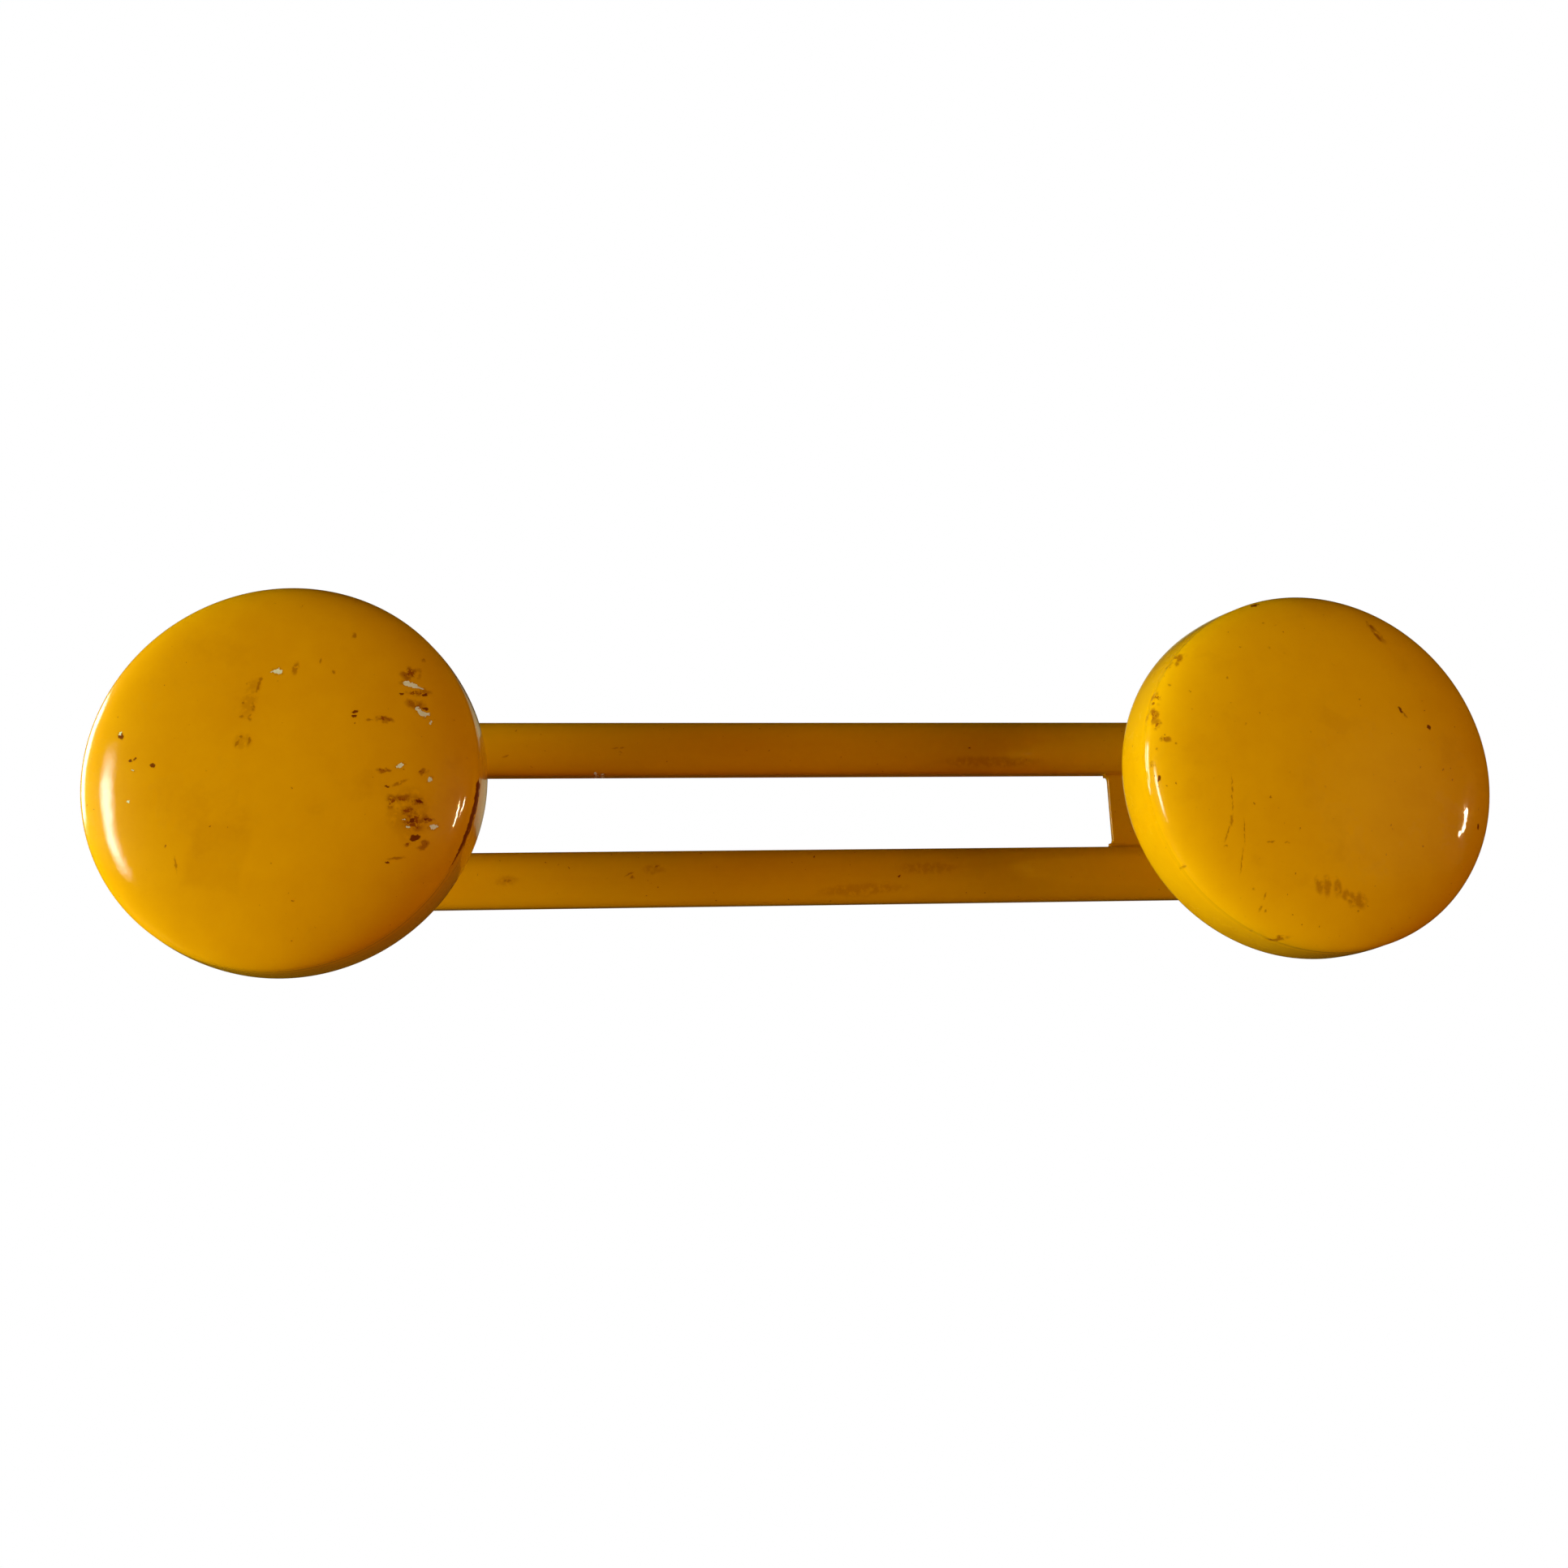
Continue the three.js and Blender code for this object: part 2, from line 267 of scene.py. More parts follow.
def cracked(graph, place, push, crack, centre_x):
    """1 along a dark crack that runs round the knob's right side between two heights, 0 elsewhere."""
    radius, half_width, low_z, high_z = crack
    inputs = {0: graph.warped(place, push, 0.35), 1: (-centre_x, 0, 0)}
    from_middle = graph.add("ShaderNodeVectorMath", inputs, operation="ADD").outputs[0]
    flat = graph.add("ShaderNodeVectorMath", {0: from_middle, 1: (1, 0, 1)}, operation="MULTIPLY").outputs[0]
    out = graph.add("ShaderNodeVectorMath", {0: flat}, operation="LENGTH").outputs["Value"]
    across = graph.math("ABSOLUTE", graph.math("SUBTRACT", out, radius))
    parts = graph.add("ShaderNodeSeparateXYZ", {0: flat}).outputs
    right_side = graph.step(parts["X"], 0.0, 1.0)
    above = graph.step(parts["Z"], low_z, low_z + 9)
    below = graph.step(parts["Z"], high_z, high_z - 1.5)
    width = graph.math("MULTIPLY", graph.math("MULTIPLY", above, below), right_side)
    uneven = graph.math("ADD", 0.25, graph.math("MULTIPLY", graph.noise(place, 0.8, 2.0), 1.5))
    reach = graph.math("MULTIPLY", graph.math("MULTIPLY", width, uneven), half_width)
    return graph.step(graph.math("SUBTRACT", reach, across), -0.03, 0.03)


def smudged(graph, place, push, grain, paint, marks, centre_x):
    """Soft brown smears and rubbed patches that leave the gloss alone."""
    if marks.smudges:
        distance = graph.spots(graph.warped(place, push, 1.6), moved(marks.smudges, centre_x))
        smudge = graph.math("MULTIPLY", graph.step(distance, 1.2, 0.5), graph.step(grain, 0.30, 0.56))
        paint = graph.mix(graph.math("MULTIPLY", smudge, marks.smudge_strength), paint, GRIME_AND_SHADE)
    if marks.patches:
        distance = graph.spots(graph.warped(place, push, 1.4), moved(marks.patches, centre_x), square=True)
        patch = graph.math("MULTIPLY", graph.step(distance, 1.12, 0.80), marks.patch_strength)
        paint = graph.mix(patch, paint, GRIME_AND_SHADE)
    return paint


def scuffed(graph, place, push, paint, marks, centre_x):
    """Brown scuffs: a cloudy stain with darker flecks in it. Returns the paint and how worn it is."""
    distance = graph.spots(graph.warped(place, push, 2.2), moved(marks.scuffs, centre_x))
    cloudy = graph.step(graph.noise(place, 0.6, 3.0, 0.6), 0.40, 0.58)
    cloudy = graph.math("MULTIPLY", graph.step(distance, 1.2, 0.45), cloudy)
    fleck = graph.noise(graph.warped(place, push, 1.2), 1.1, 4.0, 0.66)
    fleck = graph.math("SUBTRACT", fleck, graph.math("MULTIPLY", graph.step(distance, 0.2, 1.25), 0.30))
    fleck = graph.step(fleck, 0.47, 0.54)
    scuff = graph.math("MAXIMUM", graph.math("MULTIPLY", cloudy, 0.62), graph.math("MULTIPLY", fleck, 0.80))
    return graph.mix(scuff, paint, GRIME_AND_SHADE), scuff


def lacquer(name, centre_x=0.0, marks=Marks(), dirt=0.5, depth=0.0, streaked=1.0, edge_wear=0.45 * MM):
    """Yellow lacquer with its age on it. depth is painted shade: it darkens the whole part evenly towards the
    grime colour.
    streaked draws its blotches out along the rack."""
    graph = Graph(name)
    place = graph.place()
    flow = graph.add("ShaderNodeMapping", {"Vector": place, "Scale": (1 / streaked, 1, 1)}).outputs[0]

    cloud = graph.noise(flow, 0.022, 3.0)
    mottle = graph.noise(flow, 0.16, 4.0, 0.6)
    tone = graph.math("ADD", graph.math("MULTIPLY", cloud, 0.75), graph.math("MULTIPLY", mottle, 0.35))
    paint = graph.mix(graph.step(tone, 0.32, 0.78), LACQUER_DEEP, LACQUER_BRIGHT)
    # Painted shade: depth darkens the whole part evenly, standing in for the knobs' shade on the frame and
    # plates
    if depth:
        paint = graph.mix(depth, paint, GRIME_AND_SHADE)

    # A thin film of old grime, in soft patches and streaks
    film = graph.noise(graph.warped(flow, graph.push(place, 0.3), 6.0 / streaked), 0.07, 5.0, 0.62)
    film = graph.step(film, 0.52, 0.78)
    paint = graph.mix(graph.math("MULTIPLY", film, 0.10), paint, GRIME_AND_SHADE)

    # Small specks of dirt
    grain = graph.noise(place, 0.85, 3.0, 0.55)
    specks = graph.step(grain, 0.735 - 0.03 * dirt, 0.775 - 0.03 * dirt)
    worn = graph.math("MULTIPLY", specks, 0.7)
    paint = graph.mix(worn, paint, GRIME_AND_SHADE)

    if marks.smudges or marks.scuffs:
        loose = graph.push(place, 0.45)
        paint = smudged(graph, place, loose, grain, paint, marks, centre_x)
        paint, scuff = scuffed(graph, place, loose, paint, marks, centre_x)
        worn = graph.math("MAXIMUM", worn, scuff)
    if marks.scratches or marks.stains:
        fine = graph.push(place, 1.5)
        distance = graph.spots(graph.warped(place, fine, 0.7), moved(marks.scratches, centre_x))
        scratch = graph.math("MULTIPLY", graph.step(distance, 1.2, 0.4), graph.step(grain, 0.34, 0.52))
        paint = graph.mix(graph.math("MULTIPLY", scratch, 0.50), paint, GRIME_AND_SHADE)
        distance = graph.spots(graph.warped(place, fine, 0.9), moved(marks.stains, centre_x))
        stain = graph.step(distance, 1.15, 0.75)
        if marks.crack:
            stain = graph.math("MAXIMUM", stain, cracked(graph, place, fine, marks.crack, centre_x))
        paint = graph.mix(graph.math("MULTIPLY", stain, 0.90), paint, BURNT)
        worn = graph.math("MAXIMUM", worn, stain)
    if marks.chips:
        distance = graph.spots(graph.warped(place, fine, 1.4), moved(marks.chips, centre_x))
        # A darker ring round each chip: painted shade along the chip's broken edge
        paint = graph.mix(graph.math("MULTIPLY", graph.step(distance, 1.7, 1.05), 0.30), paint, GRIME_AND_SHADE)
        chip = graph.step(distance, 1.02, 0.94)
        paint = graph.mix(chip, paint, graph.mix(graph.step(grain, 0.4, 0.6), PRIMER_DULL, PRIMER))
        worn = graph.math("MAXIMUM", worn, chip)

    # Rubbed edges: paint worn thin and darkened by handling
    rubbed = graph.step(graph.noise(place, 0.45, 4.0), 0.5, 0.66)
    rubbed = graph.math("MULTIPLY", graph.edges(edge_wear), rubbed)
    paint = graph.mix(graph.math("MULTIPLY", rubbed, 0.55), paint, GRIME_AND_SHADE)

    graph.set("Base Color", paint)
    gloss = graph.math("ADD", 0.27, graph.math("MULTIPLY", film, 0.10))
    graph.set("Roughness", graph.math("ADD", gloss, graph.math("MULTIPLY", worn, 0.35)))
    graph.set("Specular IOR Level", 0.05)
    graph.set("Coat Weight", graph.math("SUBTRACT", 0.98, graph.math("MULTIPLY", worn, 0.8)))
    graph.set("Coat Roughness", 0.06)
    graph.set("Coat IOR", 1.45)
    height = graph.math("MULTIPLY", graph.noise(place, 0.35, 2.0), 0.035)
    height = graph.math("ADD", height, graph.math("MULTIPLY", graph.noise(place, 0.09, 1.0), 0.10))
    normal = graph.bump(height, 1.0, MM)
    graph.set("Normal", normal)
    graph.feed(graph.shader.inputs["Coat Normal"], normal)
    return graph.material


def metal(name, tint, rust_share):
    """Plated or bare steel: brushed, slightly stained, with rust starting in patches."""
    graph = Graph(name)
    place = graph.place()
    stretched = graph.add("ShaderNodeMapping", {"Vector": place, "Scale": (1.0, 8.0, 1.0)}).outputs[0]
    brushed = graph.noise(stretched, 1.4, 4.0, 0.7)
    patches = graph.noise(place, 0.35, 4.0, 0.65)
    rust = graph.step(patches, 0.72 - rust_share, 0.80 - rust_share)
    dark = tuple(0.6 * part for part in tint)
    bright = graph.mix(brushed, dark, tint)
    edge = graph.edges(0.25 * MM)
    bright = graph.mix(graph.math("MULTIPLY", edge, 0.5), bright, (0.8, 0.8, 0.78))
    graph.set("Base Color", graph.mix(graph.math("MULTIPLY", rust, 0.85), bright, RUST))
    graph.set("Metallic", graph.math("SUBTRACT", 1.0, graph.math("MULTIPLY", rust, 0.9)))
    rough = graph.math("ADD", 0.28, graph.math("MULTIPLY", brushed, 0.2))
    graph.set("Roughness", graph.math("ADD", rough, graph.math("MULTIPLY", rust, 0.4)))
    graph.set("Normal", graph.bump(graph.math("ADD", brushed, rust), 0.35, 0.06 * MM))
    return graph.material


# ---------------------------------------------------------------- meshes


def finished(name, mesh_data, material, replaced=()):
    """Puts a mesh in the scene as a piece of the part."""
    mesh_data.polygons.foreach_set("use_smooth", [True] * len(mesh_data.polygons))
    mesh_data.set_sharp_from_angle(angle=math.radians(38))
    mesh_data.materials.append(material)
    piece = bpy.data.objects.new(name, mesh_data)
    bpy.context.scene.collection.objects.link(piece)
    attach(piece, "root")
    if replaced:
        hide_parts(*replaced)
    return piece


def turned(name, profile, centre_x, segments, offset=None):
    """Turns a closed profile of (radius, y) points round the line along Y at centre_x.
    offset(angle, radius, y) may return how far to move a point out from that line."""
    mesh = bmesh.new()
    rings = []
    for radius, y in profile:
        if radius < SAME_POINT:
            rings.append([mesh.verts.new((centre_x, y, 0))])
            continue
        ring = []
        for index in range(segments):
            angle = 2 * math.pi * index / segments
            out = radius + (offset(angle, radius, y) if offset else 0)
            ring.append(mesh.verts.new((centre_x + out * math.cos(angle), y, out * math.sin(angle))))
        rings.append(ring)
    for one, two in zip(rings, rings[1:] + rings[:1]):
        if len(one) == 1 and len(two) == 1:
            continue
        for index in range(segments):
            follow = (index + 1) % segments
            near = [one[index % len(one)], one[follow % len(one)]]
            far = [two[follow % len(two)], two[index % len(two)]]
            mesh.faces.new(list(dict.fromkeys(near + far)))
    bmesh.ops.recalc_face_normals(mesh, faces=mesh.faces)
    data = bpy.data.meshes.new(name)
    mesh.to_mesh(data)
    mesh.free()
    return data


def stacked(name, rings):
    """A closed solid from rings of equal length, each a list of points, with both end rings filled."""
    mesh = bmesh.new()
    loops = [[mesh.verts.new(point) for point in ring] for ring in rings]
    count = len(loops[0])
    for one, two in zip(loops, loops[1:]):
        for index in range(count):
            follow = (index + 1) % count
            mesh.faces.new([one[index], one[follow], two[follow], two[index]])
    mesh.faces.new(loops[0])
    mesh.faces.new(loops[-1])
    bmesh.ops.remove_doubles(mesh, verts=mesh.verts, dist=SAME_POINT)
    bmesh.ops.recalc_face_normals(mesh, faces=mesh.faces)
    data = bpy.data.meshes.new(name)
    mesh.to_mesh(data)
    mesh.free()
    return data


def quarter(wide, narrow, start, height, steps, power):
    """Points of a quarter superellipse, from (wide, start) to (narrow, start + height)."""
    points = []
    for step in range(steps + 1):
        angle = QUARTER * step / steps
        across = narrow + (wide - narrow) * max(math.cos(angle), 0) ** power
        points.append((across, start + height * math.sin(angle)))
    points[-1] = (narrow, start + height)
    return points


def rounded_edge(corner, before, after, radius):
    """Points of a small rounding at a corner. before and after are the unit directions from the
    corner towards the points on either side of it."""
    points = []
    start = (corner[0] + before[0] * radius, corner[1] + before[1] * radius)
    end = (corner[0] + after[0] * radius, corner[1] + after[1] * radius)
    for step in range(EDGE_STEPS + 1):
        share = step / EDGE_STEPS
        pulls = ((start, (1 - share) ** 2), (corner, 2 * share * (1 - share)), (end, share**2))
        points.append(tuple(sum(pull * point[axis] for point, pull in pulls) for axis in (0, 1)))
    return points


# ---------------------------------------------------------------- knobs


class Knob:
    """The sizes of one knob, from its CAD boxes."""

    def __init__(self, side):
        front_low, front_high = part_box(f"{side}_knob_front")
        back_low, back_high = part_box(f"{side}_knob_back")
        self.side = side
        self.x = (front_low.x + front_high.x) / 2
        self.apex_y = front_low.y
        self.front_rim_y = front_high.y
        self.back_rim_y = back_low.y
        self.seat_y = back_high.y
        self.seam_radius = (front_high.z - front_low.z) / 2
        self.radius = (back_high.z - back_low.z) / 2
        self.seam_y = (self.front_rim_y + self.back_rim_y) / 2
        self.front_gap = self.seam_y - self.front_rim_y

    def band_radius(self, y):
        """Outside radius of the slightly bulged band between the seam and the widest plane."""
        along = (y - self.back_rim_y) / (WIDEST_Y - self.back_rim_y)
        return self.radius - (self.radius - self.seam_radius) * (1 - along) ** 2


def knob_front(knob, material):
    height = knob.apex_y - knob.front_rim_y
    outer = quarter(knob.seam_radius, 0, knob.front_rim_y, height, DOME_STEPS, SHOULDER_POWER)
    skirt = [point for point in outer if point[1] < knob.front_rim_y - RIM_ROUNDING]
    corner = (knob.seam_radius, knob.front_rim_y)
    rim = rounded_edge(corner, (-1, 0), (0, -1), RIM_ROUNDING)
    inner_radius = knob.seam_radius - SHELL_THICKNESS
    inner_height = height + SHELL_THICKNESS
    inside = quarter(inner_radius, 0, knob.front_rim_y, inner_height, INNER_STEPS, SHOULDER_POWER)
    data = turned(f"{knob.side}_front_shell", rim + skirt + inside[::-1], knob.x, KNOB_SEGMENTS)
    finished(data.name, data, material, [f"{knob.side}_knob_front"])


def knob_back(knob, material):
    band = []
    for step in range(BAND_STEPS):
        y = knob.back_rim_y + (WIDEST_Y - knob.back_rim_y) * step / BAND_STEPS
        band.append((knob.band_radius(y), y))
    band = [point for point in band if point[1] > knob.back_rim_y + RIM_ROUNDING]
    rim = rounded_edge((knob.seam_radius, knob.back_rim_y), (-1, 0), (0, 1), RIM_ROUNDING)
    height = knob.seat_y - WIDEST_Y
    outer = quarter(knob.radius, SEAT_RADIUS, WIDEST_Y, height, BACK_STEPS, SHOULDER_POWER)
    inner_radius = knob.radius - SHELL_THICKNESS
    inner_height = height - SHELL_THICKNESS
    inner = quarter(inner_radius, SEAT_RADIUS, WIDEST_Y, inner_height, INNER_STEPS, SHOULDER_POWER)
    hole = [(SCREW_HOLE_RADIUS, knob.seat_y), (SCREW_HOLE_RADIUS, knob.seat_y - SHELL_THICKNESS)]
    inside_rim = [(knob.seam_radius - SHELL_THICKNESS, knob.back_rim_y)]
    profile = rim + band + outer + hole + inner[::-1] + inside_rim
    data = turned(f"{knob.side}_back_shell", profile, knob.x, KNOB_SEGMENTS)
    finished(data.name, data, material, [f"{knob.side}_knob_back"])


def seam_bead(knob, material, sag, crack=None):
    """The paint that bridges the seam between the two shells. It has sunk in here and there,
    and between the two angles of crack it has broken away and filled with dirt."""
    inside = knob.seam_radius - 0.9 * SHELL_THICKNESS
    front_angle = math.asin((BEAD_HALF_WIDTH - knob.front_gap) / (knob.front_rim_y - knob.apex_y))
    front_radius = knob.seam_radius * math.cos(front_angle) ** SHOULDER_POWER
    front_y = knob.seam_y - BEAD_HALF_WIDTH
    back_radius = knob.band_radius(knob.seam_y + BEAD_HALF_WIDTH)
    back_y = knob.seam_y + BEAD_HALF_WIDTH

    def sunk(angle, radius, y):
        if radius < inside + BEAD_FOOT or y in (front_y, back_y):
            return 0
        around = Vector((6 * math.cos(angle), 6 * math.sin(angle), knob.x))
        depth = sag * (1 + noise.noise(around))
        degrees = (math.degrees(angle) + 180) % 360 - 180
        if crack and crack[0] < degrees < crack[1]:
            depth += CRACK_DEPTH * (1 + noise.noise(around * 5))
        return -depth

    profile = [(inside, front_y)]
    for step in range(BEAD_STEPS + 1):
        along = step / BEAD_STEPS
        radius = front_radius + (back_radius - front_radius) * along
        profile.append((radius, front_y + (back_y - front_y) * along))
    profile.append((inside, back_y))
    data = turned(f"{knob.side}_seam_bead", profile, knob.x, 2 * KNOB_SEGMENTS, sunk)
    finished(data.name, data, material)


# ---------------------------------------------------------------- frame


def rail_ring(half_length, low, high, inset, y):
    """Outline of a rail seen from the front, moved in by inset. Its outer side, at high, has rounded
    corners."""
    sign = 1 if high > low else -1
    inner = low + sign * inset
    outer = high - sign * inset
    radius = FRAME_CORNER_RADIUS - inset
    corner_x = half_length - FRAME_CORNER_RADIUS
    below_corner = abs(high - low) - FRAME_CORNER_RADIUS
    start = math.asin(min(max(inset - below_corner, 0) / radius, 1))
    end = corner_x + radius * math.cos(start)
    points = [(end * (2 * step / STRAIGHT_STEPS - 1), y, inner) for step in range(STRAIGHT_STEPS + 1)]
    corner = []
    for step in range(CORNER_STEPS + 1):
        angle = start + (QUARTER - start) * step / CORNER_STEPS
        corner.append((corner_x + radius * math.cos(angle), y, outer - sign * radius * (1 - math.sin(angle))))
    points += corner
    points += [(corner_x * (1 - 2 * step / STRAIGHT_STEPS), y, outer) for step in range(1, STRAIGHT_STEPS)]
    points += [(-x, y, z) for x, y, z in reversed(corner)]
    return points


def rail(side, material):
    low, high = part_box(f"{side}_rail")
    half_length = (high.x - low.x) / 2
    depth = high.y - low.y
    edges = (low.z, high.z) if side == "upper" else (high.z, low.z)
    half_width = (high.z - low.z) / 2
    section = []
    for inset, back in quarter(RAIL_BACK_INSET, 0, 0, 1, RAIL_BACK_STEPS, 1.0):
        section.append((inset, RAIL_SIDE_START * (1 - math.sqrt(max(0, 1 - back**2)))))
    crown = quarter(half_width, 0, RAIL_SIDE_END, depth - RAIL_SIDE_END, RAIL_CROWN_STEPS, CROWN_POWER)
    for across, deep in crown:
        section.append((min(half_width - across, half_width - RAIL_CREST_HALF), deep))
    rings = [rail_ring(half_length, *edges, inset, high.y - deep) for inset, deep in section]
    data = stacked(f"{side}_rail_bar", rings)
    finished(data.name, data, material, [f"{side}_rail"])


def arc(centre_x, centre_z, radius, start, end, steps):
    points = []
    for step in range(steps + 1):
        angle = math.radians(start + (end - start) * step / steps)
        points.append((centre_x + radius * math.cos(angle), centre_z + radius * math.sin(angle)))
    return points


def sheet_metal(name, outlines, y, thickness, rounding):
    """A flat plate with holes and softly rounded edges. outlines holds closed lists of (x, z), the
    outer one first."""
    curve = bpy.data.curves.new(name, "CURVE")
    curve.dimensions = "2D"
    curve.fill_mode = "BOTH"
    curve.extrude = thickness / 2 - rounding
    curve.bevel_depth = rounding
    curve.bevel_resolution = 3
    curve.offset = -rounding
    for outline in outlines:
        spline = curve.splines.new("POLY")
        spline.points.add(len(outline) - 1)
        for point, (x, z) in zip(spline.points, outline):
            point.co = (x, z, 0, 1)
        spline.use_cyclic_u = True
    drawn = bpy.data.objects.new(name, curve)
    bpy.context.scene.collection.objects.link(drawn)
    bpy.context.view_layer.update()
    data = bpy.data.meshes.new_from_object(drawn.evaluated_get(bpy.context.evaluated_depsgraph_get()))
    bpy.data.objects.remove(drawn)
    data.transform(Matrix.Translation((0, y, 0)) @ Matrix.Rotation(QUARTER, 4, "X"))
    mesh = bmesh.new()
    mesh.from_mesh(data)
    bmesh.ops.remove_doubles(mesh, verts=mesh.verts, dist=1e-6)
    bmesh.ops.recalc_face_normals(mesh, faces=mesh.faces)
    mesh.to_mesh(data)
    mesh.free()
    return data


def fillet_strip(name, start_x, end_x, corner_y, corner_z, up, out):
    """The paint and weld that fill the corner between the web and a rail.
    up is the side of the corner that the rail is on, out the side that it faces."""
    points = [(corner_z + up * FILLET_BURIED, corner_y - out * FILLET_BURIED)]
    points.append((corner_z - up * FILLET, corner_y - out * FILLET_BURIED))
    for step in range(FILLET_STEPS + 1):
        angle = QUARTER * step / FILLET_STEPS
        z = corner_z - up * FILLET * (1 - math.sin(angle))
        points.append((z, corner_y + out * FILLET * (1 - math.cos(angle))))
    points.append((corner_z + up * FILLET_BURIED, corner_y + out * FILLET))
    rings = []
    for step in range(FILLET_LENGTHS + 1):
        x = start_x + (end_x - start_x) * step / FILLET_LENGTHS
        rings.append([(x, y, z) for z, y in points])
    return stacked(name, rings)


def end_plate(side, knob, material):
    low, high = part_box(f"{side}_end_plate")
    rail_low, rail_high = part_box("upper_rail")
    sign = 1 if side == "right" else -1
    end = rail_high.x - PLATE_END_INSET
    radius = SLOT_CORNER_RADIUS
    tip = low.x if sign > 0 else -high.x
    edge = rail_low.z
    half = edge + PLATE_RAIL_OVERLAP
    outline = [(end, -half), (end, half), (tip, half), (tip, edge)]
    outline += arc(tip, edge - radius, radius, 90, 0, FILLET_STEPS)[1:]
    outline += arc(tip, radius - edge, radius, 0, -90, FILLET_STEPS)
    outline.append((tip, -half))
    bore = arc(abs(knob.x), 0, SCREW_HOLE_RADIUS, 0, 360, KEYHOLE_STEPS)[:-1]
    meet = math.degrees(math.asin(KEYHOLE_SLOT_HALF / KEYHOLE_ENTRY_RADIUS))
    keyhole = arc(KEYHOLE_X, KEYHOLE_ENTRY_Z, KEYHOLE_ENTRY_RADIUS, 90 - meet, meet - 270, KEYHOLE_STEPS)
    slot_z = KEYHOLE_SLOT_TOP - KEYHOLE_SLOT_HALF
    keyhole += arc(KEYHOLE_X, slot_z, KEYHOLE_SLOT_HALF, 180, 0, KEYHOLE_STEPS // 2)
    outlines = [[(sign * x, z) for x, z in points] for points in (outline, bore, keyhole)]
    y = (low.y + high.y) / 2
    data = sheet_metal(f"{side}_web_plate", outlines, y, high.y - low.y, PLATE_EDGE_ROUNDING)
    finished(data.name, data, material, [f"{side}_end_plate"])
    for rail_name, up in (("upper", 1), ("lower", -1)):
        for face, corner_y, out in (("front", low.y, -1), ("rear", high.y, 1)):
            name = f"{side}_{rail_name}_{face}_fillet"
            start = sign * (tip + FILLET_START * radius)
            strip = fillet_strip(name, start, sign * end, corner_y, up * edge, up, out)
            finished(name, strip, material)


def stem_tube(side, knob, material):
    low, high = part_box(f"{side}_stem_tube")
    washer_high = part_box(f"{side}_seat_washer")[1]
    plate_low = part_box(f"{side}_end_plate")[0]
    outer = (high.z - low.z) / 2
    inner = outer - TUBE_WALL
    front = washer_high.y
    back = plate_low.y
    profile = rounded_edge((inner, front), (0, 1), (1, 0), TUBE_INNER_EDGE)
    profile += rounded_edge((outer, front), (-1, 0), (0, 1), TUBE_OUTER_EDGE)
    for step in range(FLARE_STEPS + 1):
        angle = QUARTER * step / FLARE_STEPS
        profile.append((outer + TUBE_FOOT * (1 - math.cos(angle)), back - TUBE_FOOT * (1 - math.sin(angle))))
    profile.append((inner, back))
    data = turned(f"{side}_stem_sleeve", profile, knob.x, SMALL_SEGMENTS)
    finished(data.name, data, material, [f"{side}_stem_tube"])


def seat_washer(side, knob, material):
    low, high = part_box(f"{side}_seat_washer")
    outer = (high.z - low.z) / 2
    profile = rounded_edge((SCREW_HOLE_RADIUS, knob.seat_y), (0, 1), (1, 0), WASHER_EDGE)
    profile += rounded_edge((outer, knob.seat_y), (-1, 0), (0, 1), WASHER_EDGE)
    profile += rounded_edge((outer, high.y), (0, -1), (-1, 0), WASHER_EDGE)
    profile += rounded_edge((SCREW_HOLE_RADIUS, high.y), (1, 0), (0, -1), WASHER_EDGE)
    data = turned(f"{side}_seat_ring", profile, knob.x, SMALL_SEGMENTS)
    finished(data.name, data, material, [f"{side}_seat_washer"])


# ---------------------------------------------------------------- stage, light and camera

# Stage, in metres
FLOOR_Z = -0.55
DOME_RADIUS = 2.2
PANE_DISTANCE = 6.0
CARD_X = -0.2
CARD_NEAR_Y = 0.02
CARD_FAR_Y = 0.5
CARD_HALF_HEIGHT = 0.3

# Where the narrow pane between the knobs mirrors on the left knob, from the middle of its seam
STREAK_OUT = 35 * MM
STREAK_FORWARD = -4 * MM
STREAK_UP = -9 * MM


def camera():
    """Close in front of the rack, a little left of its middle and below it, looking slightly up."""
    data = bpy.data.cameras.new("camera")
    data.sensor_width = 36
    data.lens = 34.484
    data.shift_x = 0.01243
    data.shift_y = -0.10414
    data.clip_start = 0.01
    seen = bpy.data.objects.new("camera", data)
    bpy.context.scene.collection.objects.link(seen)
    yaw = 0.116
    pitch = -0.271
    roll = -0.024
    forward = Vector((math.sin(yaw) * math.cos(pitch), math.cos(yaw) * math.cos(pitch), -math.sin(pitch)))
    level = Vector((math.cos(yaw), -math.sin(yaw), 0))
    upright = level.cross(forward)
    right = math.cos(roll) * level + math.sin(roll) * upright
    up = math.cos(roll) * upright - math.sin(roll) * level
    turn = Matrix((right, up, -forward)).transposed().to_4x4()
    seen.matrix_world = Matrix.Translation((-0.047324, -0.374645, -0.053871)) @ turn
    bpy.context.scene.camera = seen


